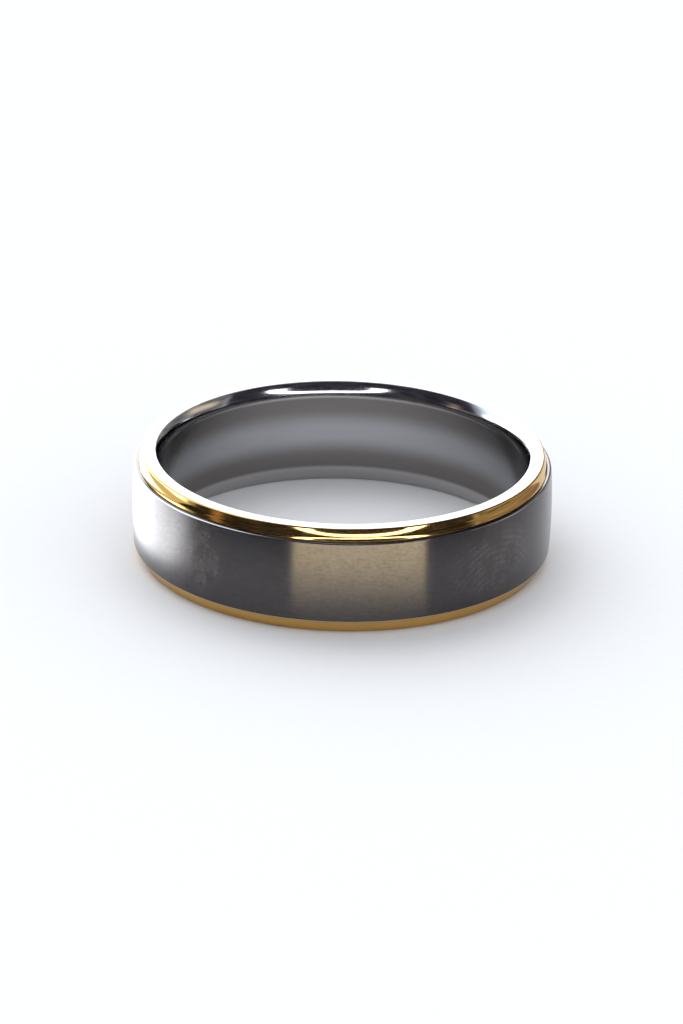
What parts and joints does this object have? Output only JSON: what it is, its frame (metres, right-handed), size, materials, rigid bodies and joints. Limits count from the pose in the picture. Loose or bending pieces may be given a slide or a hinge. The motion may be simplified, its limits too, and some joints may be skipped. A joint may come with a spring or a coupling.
{
  "type": "wedding band",
  "caption": "Two-tone comfort-fit wedding band with a brushed grey crowned face, stepped ledges and polished gold shoulders, worn on a finger.",
  "frame": {"origin": "centre of the lower rim's plane, where the ring rests when it lies flat", "axes": "+Z along the ring's axis, upwards when it lies flat; +X and +Y are equal by symmetry"},
  "size_m": [0.0232, 0.0232, 0.006],
  "materials": {
    "liner": "satin bore with polished mouths and bright satin rims",
    "band": "dark, brushed around the ring, with polished edges and darker ledges",
    "gold": "mirror polish",
    "braze": "dull, darkened joint line"
  },
  "bodies": {
    "root": {"comfort_fit_liner": "liner", "centre_band": "band", "upper_edge_ring": "gold", "lower_edge_ring": "gold", "upper_braze_seam": "braze", "lower_braze_seam": "braze"}
  },
  "joints": []
}
